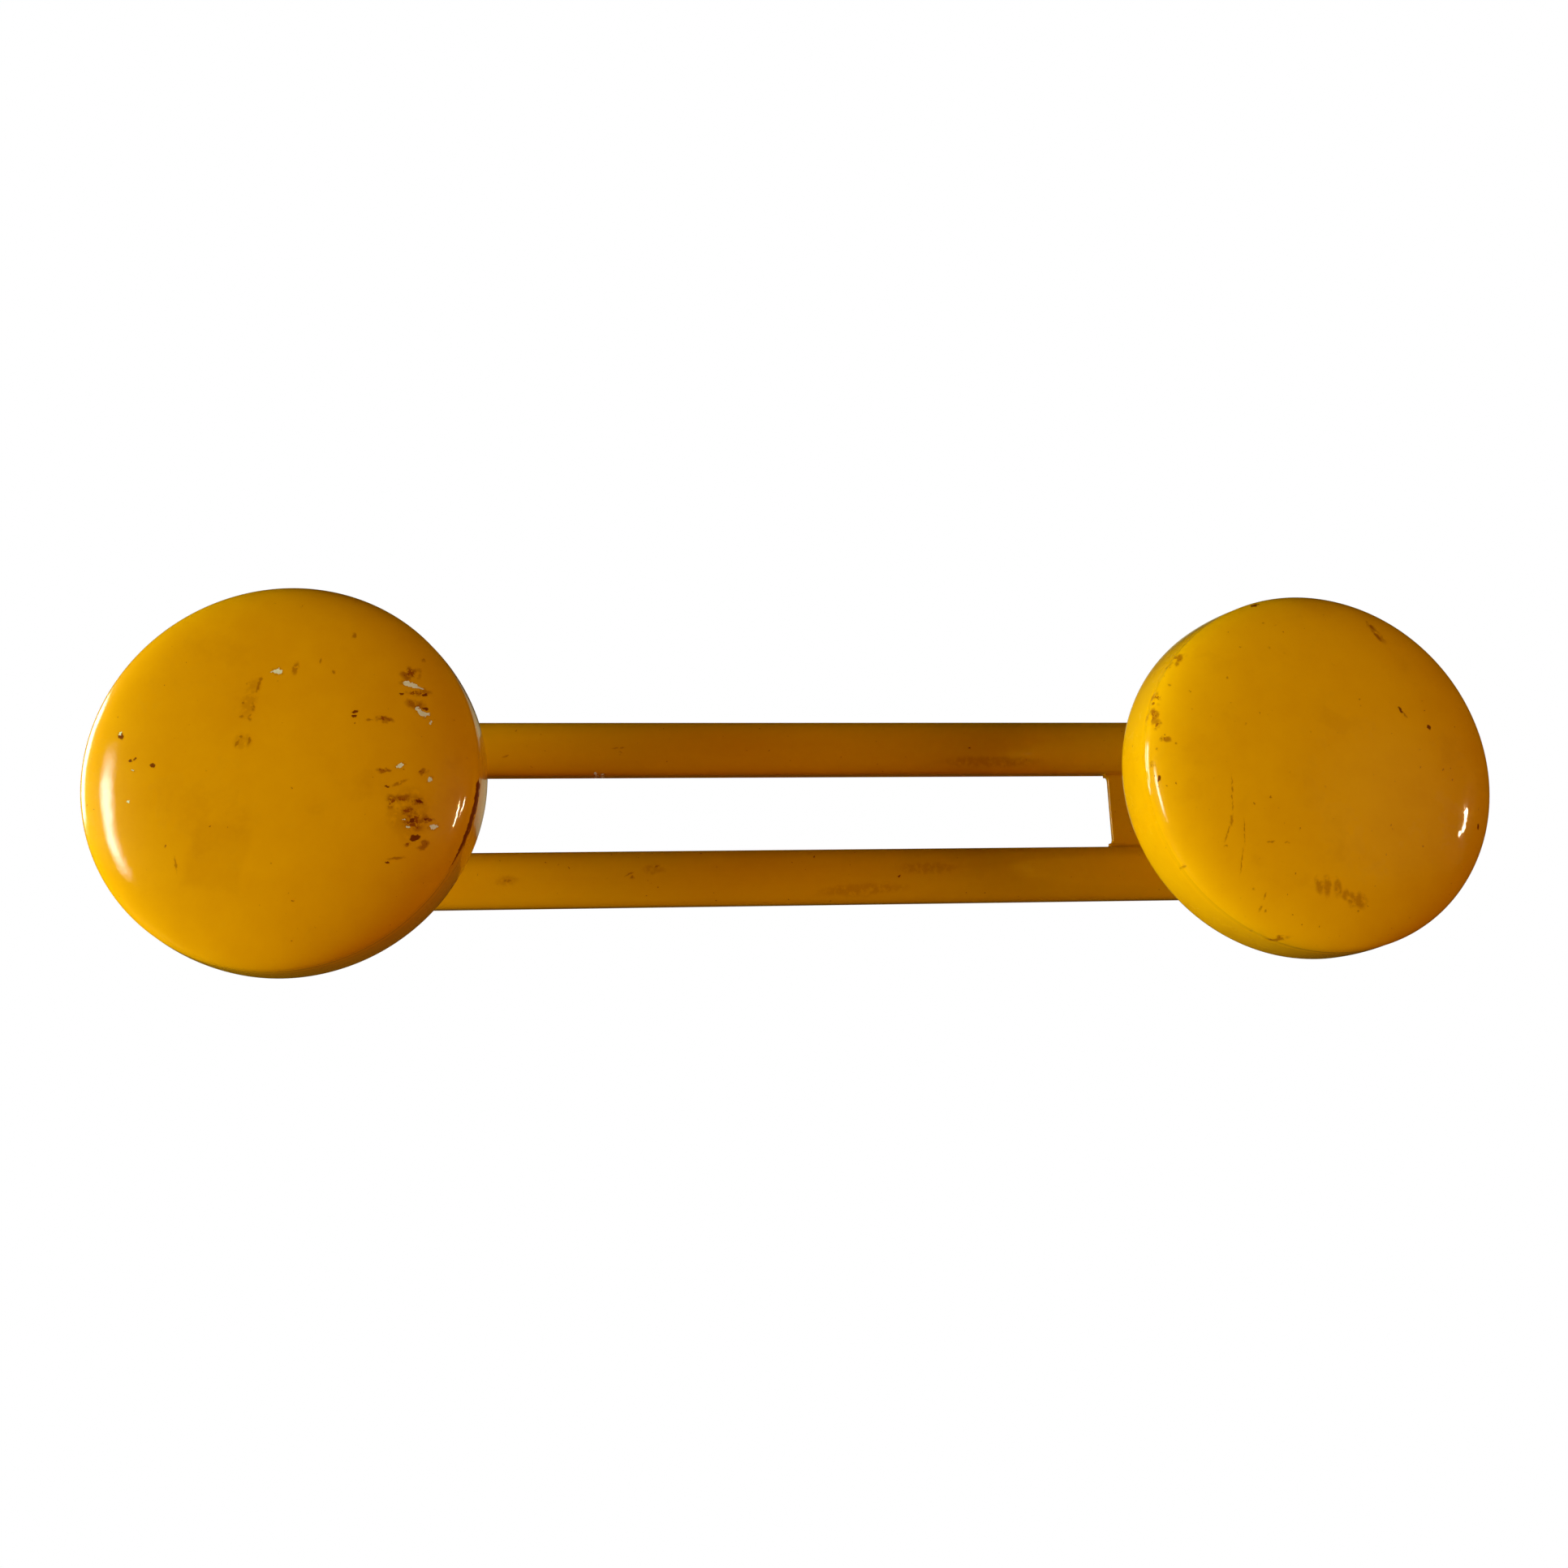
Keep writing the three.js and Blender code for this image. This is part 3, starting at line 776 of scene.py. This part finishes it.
def backdrop():
    """A pale floor that sweeps up into a pale dome, large enough for a camera on any side."""
    profile = [(0, 0)]
    for step in range(BACKDROP_STEPS + 1):
        angle = QUARTER * (2 * step / BACKDROP_STEPS - 1)
        across = 0.45 + 0.55 * math.cos(angle)
        height = 0.75 * (1 + math.sin(angle))
        profile.append((DOME_RADIUS * across, DOME_RADIUS * height))
    profile.append((0, 1.5 * DOME_RADIUS))
    mesh = bmesh.new()
    rings = []
    for out, up in profile:
        ring = []
        for index in range(BACKDROP_SEGMENTS):
            angle = 2 * math.pi * index / BACKDROP_SEGMENTS
            ring.append(mesh.verts.new((out * math.cos(angle), out * math.sin(angle), FLOOR_Z + up)))
        rings.append(ring)
    for one, two in zip(rings, rings[1:]):
        for index in range(BACKDROP_SEGMENTS):
            follow = (index + 1) % BACKDROP_SEGMENTS
            mesh.faces.new([one[index], one[follow], two[follow], two[index]])
    bmesh.ops.remove_doubles(mesh, verts=mesh.verts, dist=1e-5)
    data = bpy.data.meshes.new("pale_floor")
    mesh.to_mesh(data)
    mesh.free()
    data.polygons.foreach_set("use_smooth", [True] * len(data.polygons))
    material = bpy.data.materials.new("pale_paper")
    material.use_nodes = True
    tree = material.node_tree
    tree.nodes.clear()
    glow = tree.nodes.new("ShaderNodeEmission")
    glow.inputs["Color"].default_value = (1.0, 1.0, 1.0, 1.0)
    glow.inputs["Strength"].default_value = 1.0
    output = tree.nodes.new("ShaderNodeOutputMaterial")
    tree.links.new(glow.outputs[0], output.inputs["Surface"])
    data.materials.append(material)
    floor = bpy.data.objects.new("pale_floor", data)
    bpy.context.scene.collection.objects.link(floor)
    floor.visible_diffuse = False
    floor.visible_glossy = False
    floor.visible_transmission = False
    floor.visible_shadow = False


def direction_of(bearing, elevation):
    """Unit vector from the rack. bearing is in degrees left of straight in front, elevation in degrees
    above level."""
    across = math.radians(bearing)
    above = math.radians(elevation)
    level = math.cos(above)
    return Vector((-math.sin(across) * level, -math.cos(across) * level, math.sin(above)))


def glow_panel(name, bearing, elevation, distance, width, height, tint, strength, softness, target, swing=0):
    """A window-like panel, brightest in its middle, that only shows as a reflection. It shines on the
    side that faces its target, and swing turns it further round, in degrees."""
    direction = direction_of(bearing, elevation)
    data = bpy.data.meshes.new(name)
    data.from_pydata([(-1, -1, 0), (1, -1, 0), (1, 1, 0), (-1, 1, 0)], [], [(0, 1, 2, 3)])
    material = bpy.data.materials.new(name)
    material.use_nodes = True
    tree = material.node_tree
    tree.nodes.clear()
    place = tree.nodes.new("ShaderNodeTexCoord")
    parts = tree.nodes.new("ShaderNodeSeparateXYZ")
    tree.links.new(place.outputs["Object"], parts.inputs[0])
    shares = []
    for axis in (0, 1):
        size = tree.nodes.new("ShaderNodeMath")
        size.operation = "ABSOLUTE"
        tree.links.new(parts.outputs[axis], size.inputs[0])
        fade = tree.nodes.new("ShaderNodeMapRange")
        fade.interpolation_type = "SMOOTHSTEP"
        fade.inputs["From Min"].default_value = 1.0
        fade.inputs["From Max"].default_value = 1.0 - softness[axis]
        tree.links.new(size.outputs[0], fade.inputs["Value"])
        shares.append(fade.outputs[0])
    both = tree.nodes.new("ShaderNodeMath")
    both.operation = "MULTIPLY"
    tree.links.new(shares[0], both.inputs[0])
    tree.links.new(shares[1], both.inputs[1])
    side = tree.nodes.new("ShaderNodeNewGeometry")
    one_side = tree.nodes.new("ShaderNodeMath")
    one_side.operation = "MULTIPLY"
    tree.links.new(both.outputs[0], one_side.inputs[0])
    tree.links.new(side.outputs["Backfacing"], one_side.inputs[1])
    power = tree.nodes.new("ShaderNodeMath")
    power.operation = "MULTIPLY"
    power.inputs[1].default_value = strength
    tree.links.new(one_side.outputs[0], power.inputs[0])
    glow = tree.nodes.new("ShaderNodeEmission")
    glow.inputs["Color"].default_value = (*tint, 1.0)
    tree.links.new(power.outputs[0], glow.inputs["Strength"])
    output = tree.nodes.new("ShaderNodeOutputMaterial")
    tree.links.new(glow.outputs[0], output.inputs["Surface"])
    data.materials.append(material)
    panel = bpy.data.objects.new(name, data)
    bpy.context.scene.collection.objects.link(panel)
    swung = Matrix.Rotation(math.radians(swing), 4, "Z")
    turn = swung @ direction.to_track_quat("Z", "Y").to_matrix().to_4x4()
    size = Matrix.Diagonal((width / 2, height / 2, 1, 1))
    panel.matrix_world = Matrix.Translation(target + distance * direction) @ turn @ size
    panel.visible_camera = False
    panel.visible_diffuse = False
    panel.visible_shadow = False


def soft_lamp(name, bearing, elevation, distance, size, tint, brightness):
    """A round soft lamp aimed at the rack, that lights surfaces but doesn't mirror in them."""
    data = bpy.data.lights.new(name, "AREA")
    data.shape = "DISK"
    data.size = size
    data.color = tint
    data.energy = brightness * (math.pi * distance) ** 2
    lamp = bpy.data.objects.new(name, data)
    bpy.context.scene.collection.objects.link(lamp)
    toward = direction_of(bearing, elevation)
    turn = toward.to_track_quat("Z", "Y").to_matrix().to_4x4()
    lamp.matrix_world = Matrix.Translation(distance * toward) @ turn
    lamp.visible_glossy = False


def lights(left, right):
    near = Vector((left.x, left.seam_y, 0))
    far = Vector((right.x, right.seam_y, 0))
    middle = (near + far) / 2
    soft_lamp("daylight_left", 75, -4, 2, 0.9, (0.92, 1.0, 0.60), 0.75)
    soft_lamp("daylight_front_left", 60, 0, 1.2, 0.5, (0.90, 1.0, 0.62), 0.27)
    soft_lamp("daylight_far_left", 102, 8, 2, 0.9, (0.98, 1.0, 0.62), 0.93)
    soft_lamp("warm_light_front", 45, 0, 2, 0.9, (1.0, 0.02, 0.01), 0.063)
    soft_lamp("fill_right", -38, 0, 4, 2.0, (1.0, 0.72, 0.45), 0.262)
    soft_lamp("fill_far_right", -60, 0, 4, 2.0, (1.0, 0.63, 0.40), 0.121)
    soft_lamp("floor_glow_front", 0, -40, 4, 2.0, (1.0, 0.02, 0.01), 0.082)
    soft_lamp("floor_glow_left", 97, -36, 2, 0.9, (1.0, 0.94, 0.60), 0.27)
    soft_lamp("floor_glow_right", -110, -30, 4, 2.0, (1.0, 0.02, 0.01), 0.09)
    soft_lamp("daylight_behind", 178, 25, 4, 2.4, (1.0, 0.92, 0.80), 0.3)
    window = (1.0, 0.97, 0.90)
    glow_panel("window_front_left", 58.5, -2.5, 0.67, 0.18, 0.44, window, 20, (0.9, 0.7), near)
    glow_panel("window_far_left", 110, 12, 0.80, 0.42, 0.46, (1.0, 0.98, 0.95), 11, (0.5, 0.3), near)
    for name, bearing, elevation, width, height in (
        ("pane_right_upper", -64.6, -1.4, 2.0, 2.2),
        ("pane_right_lower", -63.8, -3.9, 1.9, 1.8),
        ("pane_right_side", -61.6, -5.0, 0.9, 1.6),
    ):
        size = [2 * PANE_DISTANCE * math.tan(math.radians(angle / 2)) for angle in (width, height)]
        glow_panel(name, bearing, elevation, PANE_DISTANCE, *size, (1.0, 0.94, 0.58), 90, (0.2, 0.2), middle)
    shoulder = near + Vector((STREAK_OUT, STREAK_FORWARD, STREAK_UP))
    sunny = (1.0, 0.94, 0.50)
    glow_panel("pane_between", -55.5, -4.7, 0.1, 0.0032, 0.021, sunny, 170, (0.4, 0.5), shoulder, 51)
    glow_panel("pale_wall_right", -168, 12, 1.2, 0.9, 0.7, (1.0, 0.93, 0.52), 0.42, (0.6, 0.6), far)
    dark_card()
    warm_room()


def dark_card():
    """A black card left of the rack and behind it, that keeps light off the far end of the slot."""
    data = bpy.data.meshes.new("dark_card")
    low = [(CARD_X, y, -CARD_HALF_HEIGHT) for y in (CARD_NEAR_Y, CARD_FAR_Y)]
    high = [(CARD_X, y, CARD_HALF_HEIGHT) for y in (CARD_FAR_Y, CARD_NEAR_Y)]
    data.from_pydata(low + high, [], [(0, 1, 2, 3)])
    material = bpy.data.materials.new("dark_card")
    material.use_nodes = True
    material.node_tree.nodes["Principled BSDF"].inputs["Base Color"].default_value = (0.0, 0.0, 0.0, 1.0)
    data.materials.append(material)
    card = bpy.data.objects.new("dark_card", data)
    bpy.context.scene.collection.objects.link(card)
    card.visible_camera = False
    card.visible_glossy = False


def warm_room():
    """A dim warm room, brightest behind the rack."""
    world = bpy.data.worlds.new("warm_room")
    world.use_nodes = True
    tree = world.node_tree
    place = tree.nodes.new("ShaderNodeTexCoord")
    parts = tree.nodes.new("ShaderNodeSeparateXYZ")
    tree.links.new(place.outputs["Generated"], parts.inputs[0])
    behind = tree.nodes.new("ShaderNodeMapRange")
    behind.interpolation_type = "SMOOTHSTEP"
    tree.links.new(parts.outputs["Y"], behind.inputs["Value"])
    power = tree.nodes.new("ShaderNodeMath")
    power.operation = "MULTIPLY"
    power.inputs[1].default_value = 0.08
    tree.links.new(behind.outputs[0], power.inputs[0])
    background = tree.nodes["Background"]
    background.inputs["Color"].default_value = (1.0, 0.55, 0.04, 1.0)
    tree.links.new(power.outputs[0], background.inputs["Strength"])
    bpy.context.scene.world = world


# ---------------------------------------------------------------- wear marks

# In millimetres from the middle of the knob, or of the rack for the frame

LEFT_MARKS = Marks(
    chips=[
        (-0.8, 19.4, 0.9, 0.6, 0),
        (-2.0, 19.4, 0.25, 0.25, 0),
        (24.6, 17.4, 1.1, 0.5, -6),
        (26.0, 16.9, 1.6, 0.36, -16),
        (26.9, 12.0, 0.6, 0.45, -40),
        (27.8, 11.2, 1.0, 0.55, -25),
        (28.7, 11.1, 0.55, 0.4, 20),
        (29.6, 9.5, 0.34, 0.34, 0),
        (24.0, 0.3, 0.85, 0.42, 22),
        (29.8, -2.3, 0.32, 0.6, -30),
        (30.7, -11.7, 0.75, 0.5, 15),
        (26.0, -11.8, 0.28, 0.28, 0),
        (25.2, -10.4, 0.2, 0.2, 0),
        (-30.9, 7.2, 0.33, 0.33, 0),
        (-27.4, -0.4, 0.18, 0.18, 0),
        (-27.9, -6.5, 0.2, 0.2, 0),
    ],
    stains=[
        (-30.6, 6.6, 0.55, 0.75, 25),
        (-28.2, 1.6, 0.5, 0.2, 0),
        (-27.2, 1.9, 0.45, 0.24, 10),
        (-23.6, 0.5, 0.6, 0.42, -15),
        (14.8, 11.1, 0.75, 0.36, 12),
        (14.7, 10.2, 0.6, 0.30, 8),
        (23.6, 15.1, 0.55, 0.26, 0),
        (28.0, 15.2, 0.6, 0.34, 5),
        (28.3, 12.2, 0.7, 0.26, -18),
        (27.3, -14.0, 1.1, 0.66, 15),
        (26.6, -10.6, 0.5, 0.5, 0),
        (27.9, -6.8, 0.8, 0.28, -12),
        (21.6, -3.9, 0.5, 0.22, 10),
        (22.2, -18.8, 0.4, 0.22, 10),
        (29.3, -10.3, 0.5, 0.25, 0),
    ],
    scratches=[
        (17.6, 9.5, 0.8, 0.3, 0),
        (20.6, 9.5, 2.0, 0.75, -4),
        (24.0, -3.2, 1.9, 0.42, 25),
        (23.8, -18.0, 1.8, 0.36, 8),
        (-17.8, -19.0, 0.22, 1.9, 12),
        (-4.3, 16.4, 0.35, 2.0, -12),
        (-5.0, 12.0, 0.4, 1.0, 0),
        (-5.4, 9.8, 0.5, 0.8, 0),
        (-7.1, 10.0, 0.45, 0.45, 0),
        (-6.4, 16.9, 0.35, 0.35, 0),
        (-7.0, 12.8, 0.3, 0.3, 0),
        (-6.9, 5.9, 0.35, 0.35, 0),
        (-7.6, 4.6, 0.3, 0.9, -20),
        (-5.2, 5.2, 0.35, 0.9, -10),
        (-4.0, 17.8, 0.5, 0.5, 0),
        (2.6, 20.0, 0.7, 1.6, -10),
        (7.4, 21.7, 0.25, 0.7, -8),
        (10.1, 19.4, 0.45, 0.45, 0),
        (13.5, 27.4, 0.5, 0.8, 0),
        (27.4, 22.8, 0.5, 0.5, 0),
    ],
    scuffs=[
        (25.0, 19.6, 2.2, 1.6, 0),
        (26.6, 15.8, 2.6, 1.0, 0),
        (26.4, 13.2, 2.4, 1.2, -12),
        (22.6, -7.0, 1.2, 1.6, 0),
        (24.6, -6.0, 2.0, 1.0, 0),
        (27.6, -6.8, 1.8, 1.2, -10),
        (25.8, -8.8, 1.8, 1.0, 0),
        (26.8, -10.8, 2.6, 2.0, 0),
        (29.6, -10.3, 1.6, 0.7, 0),
        (28.6, -15.4, 1.6, 0.8, 25),
        (25.7, -14.9, 0.9, 0.5, 0),
        (28.6, -1.2, 0.9, 0.9, 0),
        (21.0, -0.8, 1.6, 0.5, 0),
        (19.9, 9.7, 1.6, 0.6, -4),
        (20.3, 9.6, 1.9, 0.55, -4),
    ],
    smudges=[
        (-5.6, 14.0, 1.6, 4.6, -12),
        (-6.4, 5.0, 2.0, 1.8, 0),
        (26.0, -9.0, 4.5, 5.5, 0),
    ],
    patches=[(-10.0, -17.4, 5.6, 6.6, -11)],
    patch_strength=0.07,
    crack=(39.0, 0.27, -21.0, -1.2),
)
RIGHT_MARKS = Marks(
    stains=[
        (16.6, 11.6, 0.34, 0.9, 30),
        (22.9, 7.9, 0.42, 0.56, 20),
        (32.8, -13.4, 0.34, 0.62, -8),
        (-37.3, -2.3, 0.32, 0.7, -18),
        (-10.9, 36.8, 1.1, 0.26, 14),
    ],
    scratches=[
        (17.6, 10.2, 0.24, 1.4, 29),
        (-10.8, -1.9, 0.36, 0.36, 0),
        (-10.8, 31.9, 0.31, 0.31, 0),
        (-11.0, 25.8, 0.34, 0.34, 0),
        (-7.9, 24.5, 0.28, 0.28, 0),
        (-21.2, 19.1, 0.3, 0.3, 0),
        (-32.9, -20.9, 0.38, 0.38, 0),
        (-31.8, 22.8, 0.3, 0.3, 0),
        (-32.9, 18.3, 0.33, 0.33, 0),
        (-37.2, 4.1, 0.33, 0.33, 0),
        (-33.5, 5.0, 0.29, 0.29, 0),
        (-23.3, -6.5, 0.22, 4.5, -3),
        (-23.9, -11.9, 0.42, 1.3, -8),
        (-24.9, -14.6, 0.24, 2.0, -20),
        (-25.3, -17.2, 0.42, 0.42, 0),
        (-21.4, -14.4, 0.16, 3.0, -2),
        (-22.2, -20.2, 0.16, 3.2, -8),
        (-16.1, -16.6, 0.9, 0.24, 8),
        (-12.6, -16.8, 0.7, 0.18, 0),
        (-17.6, -27.6, 0.24, 0.9, -20),
        (-18.4, -30.0, 0.34, 0.9, -20),
        (-17.4, -30.6, 0.22, 0.5, -20),
        (-19.9, -26.2, 0.26, 0.4, 0),
        (2.2, -31.1, 0.3, 0.3, 0),
        (14.2, 31.6, 0.4, 1.4, 30),
        (15.0, 28.9, 0.4, 1.6, 35),
        (-17.4, -36.2, 1.0, 0.3, 10),
    ],
    scuffs=[
        (-29.6, 24.6, 1.5, 1.0, 35),
        (-30.8, 23.2, 0.9, 0.8, 0),
        (-26.2, 29.4, 1.0, 0.5, 40),
        (-35.6, 15.4, 0.8, 1.8, -20),
        (-36.7, 12.0, 0.8, 2.4, -8),
        (-36.6, 9.8, 1.0, 1.2, 0),
        (-35.4, 6.2, 1.1, 0.8, 0),
        (-38.4, 1.0, 0.9, 0.6, 0),
        (-15.0, -36.6, 3.6, 0.7, 12),
        (-20.0, -34.6, 1.2, 0.5, 20),
    ],
    smudges=[
        (15.0, 29.8, 1.0, 3.2, 32),
        (-6.3, -25.8, 1.0, 2.0, 4),
        (-4.6, -26.0, 0.9, 2.3, 4),
        (-2.3, -26.2, 1.0, 2.1, 4),
        (-0.6, -27.6, 0.9, 1.2, 0),
        (0.8, -28.6, 1.5, 1.5, 0),
        (2.9, -28.9, 1.3, 2.1, 8),
        (1.6, -29.2, 2.0, 1.2, 0),
    ],
    smudge_strength=0.42,
    patches=[
        (0.9, 9.0, 3.4, 2.0, -32),
        (35.4, -3.6, 2.0, 2.2, 0),
    ],
    patch_strength=0.05,
)
FRAME_MARKS = Marks(
    chips=[
        (-47.1, 9.5, 0.5, 0.3, -10),
        (-45.4, 9.45, 0.45, 0.25, 10),
    ],
    stains=[
        (6.2, -11.3, 0.28, 0.2, 0),
        (46.4, 15.4, 0.3, 0.2, 0),
        (27.0, -16.4, 0.4, 0.22, 30),
    ],
    scratches=[
        (-41.6, 15.6, 1.8, 0.2, 4),
        (-39.0, -15.2, 1.4, 0.25, 28),
        (-69.0, 13.6, 0.9, 0.3, 20),
        (-67.8, -16.4, 1.2, 0.4, 0),
        (-32.4, -13.4, 0.8, 0.25, 0),
    ],
    scuffs=[(-41.4, 14.2, 1.1, 0.5, 0), (-38.2, -16.0, 0.9, 0.5, 20)],
    smudges=[
        (-68.0, -16.4, 3.0, 1.4, 0),
        (-33.0, -14.0, 3.0, 1.2, 0),
        (34.0, -14.5, 8.0, 1.6, 0),
        (18.0, -19.5, 12.0, 1.6, 2),
        (52.0, 12.0, 14.0, 1.4, 0),
    ],
)

# Where the broken part of the left knob's seam starts and ends, in degrees above level
CRACK_FROM = -31
CRACK_TO = -2


def build():
    left, right = Knob("left"), Knob("right")
    camera()
    backdrop()
    lights(left, right)

    left_paint = lacquer("lacquer_left", left.x / MM, LEFT_MARKS, dirt=0.5, edge_wear=0.12 * MM)
    right_paint = lacquer("lacquer_right", right.x / MM, RIGHT_MARKS, dirt=0.8, edge_wear=0.12 * MM)
    back_paint = lacquer("lacquer_back", dirt=0.6, edge_wear=0.12 * MM)
    # Frame and plates get painted shade through depth, the plates more, for the knobs' shade that falls on
    # them
    shaded_frame_paint = lacquer("lacquer_frame_painted_shade", 0.0, FRAME_MARKS, dirt=1.0, depth=0.19, streaked=7.0)
    shaded_plate_paint = lacquer("lacquer_plates_painted_shade", 0.0, FRAME_MARKS, dirt=1.0, depth=0.34, streaked=7.0)
    zinc = metal("zinc_plate", ZINC, 0.08)
    steel = metal("bare_steel", STEEL, 0.14)

    seam_bead(left, left_paint, 0.025 * MM, (CRACK_FROM, CRACK_TO))
    seam_bead(right, right_paint, 0.004 * MM)
    for knob, paint in ((left, left_paint), (right, right_paint)):
        knob_front(knob, paint)
        knob_back(knob, back_paint)
        end_plate(knob.side, knob, shaded_plate_paint)
        stem_tube(knob.side, knob, shaded_frame_paint)
        seat_washer(knob.side, knob, zinc)
    rail("upper", shaded_frame_paint)
    rail("lower", shaded_frame_paint)

    kept = (
        ("lock_washer", zinc, "zinc_plate"),
        ("stem_screw", zinc, "zinc_plate"),
        ("knob_nut", steel, "bare_steel"),
    )
    for side in ("left", "right"):
        for part, material, slot in kept:
            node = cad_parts[f"{side}_{part}"]
            node.data.materials.clear()
            node.data.materials.append(material)


build()
bpy.context.scene.view_settings.view_transform = "Standard"
bpy.context.scene.view_settings.look = "None"
